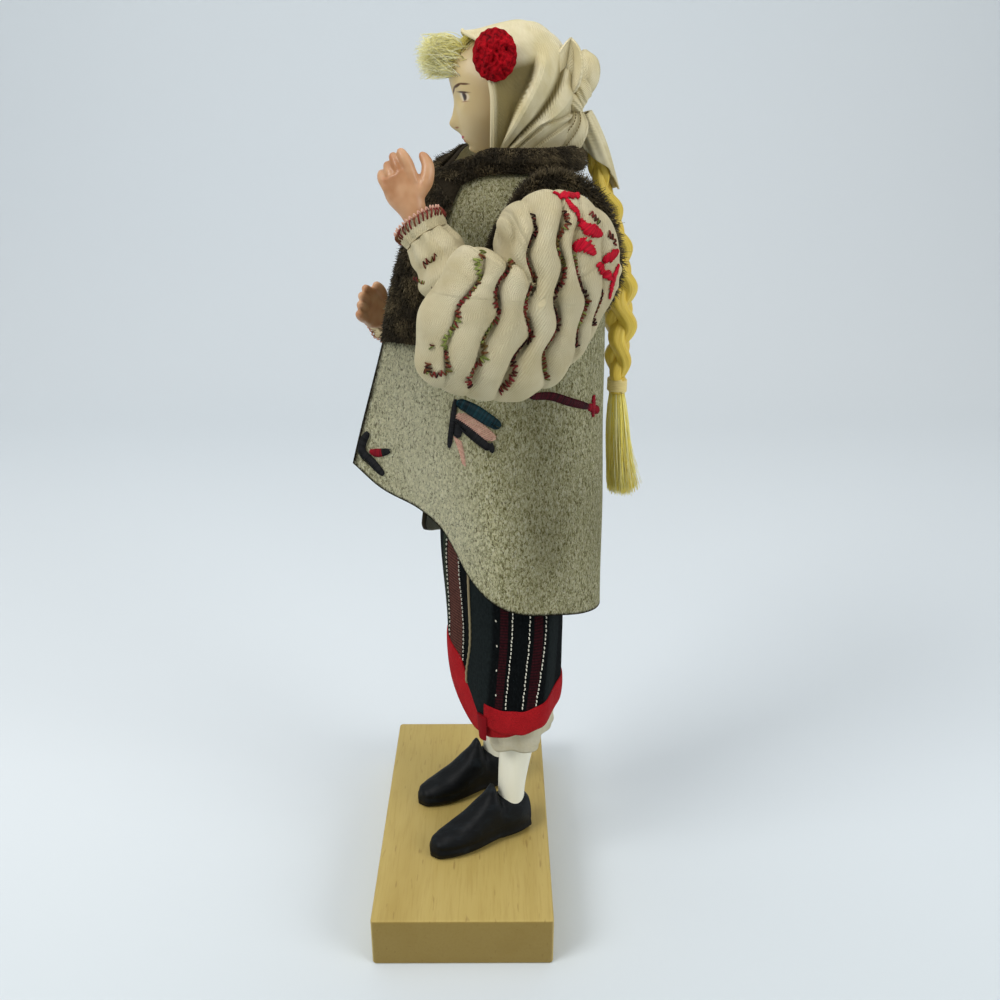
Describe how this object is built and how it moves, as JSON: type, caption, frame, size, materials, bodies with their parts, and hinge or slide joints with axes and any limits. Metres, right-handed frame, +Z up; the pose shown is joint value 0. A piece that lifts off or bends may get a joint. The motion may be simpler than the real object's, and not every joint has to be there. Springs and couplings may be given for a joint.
{
  "type": "folk costume doll",
  "caption": "Folk costume doll on a wooden plinth, with fur-trimmed suede vest, full embroidered sleeves, wrap skirt, kerchief and long plait; head, arms, hands and plait move.",
  "frame": {"origin": "centre of the plinth's underside", "axes": "+Z up; +X along the plinth's length, towards the doll's left; the doll's front faces -Y"},
  "size_m": [0.1284, 0.0882, 0.2869],
  "materials": {
    "wood": "light plain wood, eased edges",
    "steel": "drawn wire",
    "ivory_paint": "ivory satin paint",
    "black_paint": "brushed black paint",
    "calico": "stuffed plain cotton",
    "cotton": "ribbed cream cotton",
    "kerchief": "fine plain weave",
    "black_wool": "striped black wool",
    "red_braid": "red woven braid",
    "suede": "napped grey-green suede",
    "fur": "short dark pile",
    "flesh": "semi-gloss moulded",
    "ivory_face": "satin moulded, painted features",
    "hair": "glossy yellow fibre",
    "pale_hair": "fluffy pale fibre",
    "tie_thread": "wound thread",
    "crimson": "crinkled crimson knit"
  },
  "bodies": {
    "stand": {"base_block": "wood", "left_leg_pin": "steel", "right_leg_pin": "steel", "left_leg": "ivory_paint", "right_leg": "ivory_paint", "left_shoe": "black_paint", "right_shoe": "black_paint", "body_core": "calico", "neck_peg": "wood", "shoulder_wire": "steel", "blouse_body": "cotton", "underskirt": "cotton", "wrap_skirt": "black_wool", "skirt_hem_band": "red_braid", "waist_belt": "red_braid", "vest_body": "suede", "collar_fur": "fur", "left_armhole_fur": "fur", "right_armhole_fur": "fur"},
    "left_arm": {"left_sleeve": "cotton", "left_cuff": "cotton", "left_wrist_wire": "steel"},
    "right_arm": {"right_sleeve": "cotton", "right_cuff": "cotton", "right_wrist_wire": "steel"},
    "left_hand": {"left_hand": "flesh"},
    "right_hand": {"right_hand": "flesh"},
    "head": {"head": "ivory_face", "hair_cap": "hair", "hair_fringe": "pale_hair", "headscarf": "kerchief", "scarf_knot": "kerchief", "flower": "crimson"},
    "braid": {"braid": "hair", "braid_tie": "tie_thread", "braid_tassel": "hair", "scarf_tail": "kerchief"}
  },
  "joints": [
    {"name": "head_turn", "type": "hinge", "parent": "stand", "child": "head", "pos_m": [-0.0035, 0.0152, 0.245], "axis": [0, 0, 1], "range_deg": [-12, 12]},
    {"name": "left_shoulder", "type": "hinge", "parent": "stand", "child": "left_arm", "pos_m": [-0.00436, 0.01755, 0.224], "axis": [-0.9397, -0.342, 0], "range_deg": [-10, 20]},
    {"name": "right_shoulder", "type": "hinge", "parent": "stand", "child": "right_arm", "pos_m": [-0.00436, 0.01755, 0.224], "axis": [-0.9397, -0.342, 0], "range_deg": [-2, 20]},
    {"name": "left_wrist", "type": "hinge", "parent": "left_arm", "child": "left_hand", "pos_m": [0.03967, -0.00633, 0.2325], "axis": [-0.3353, -0.5249, 0.7823], "range_deg": [-25, 25]},
    {"name": "right_wrist", "type": "hinge", "parent": "right_arm", "child": "right_hand", "pos_m": [-0.00802, -0.02092, 0.2016], "axis": [0.944, -0.2941, 0.1498], "range_deg": [-25, 25]},
    {"name": "braid_swing", "type": "hinge", "parent": "head", "child": "braid", "pos_m": [-0.00422, 0.03707, 0.2592], "axis": [0.9397, 0.342, 0], "range_deg": [0, 30]}
  ]
}
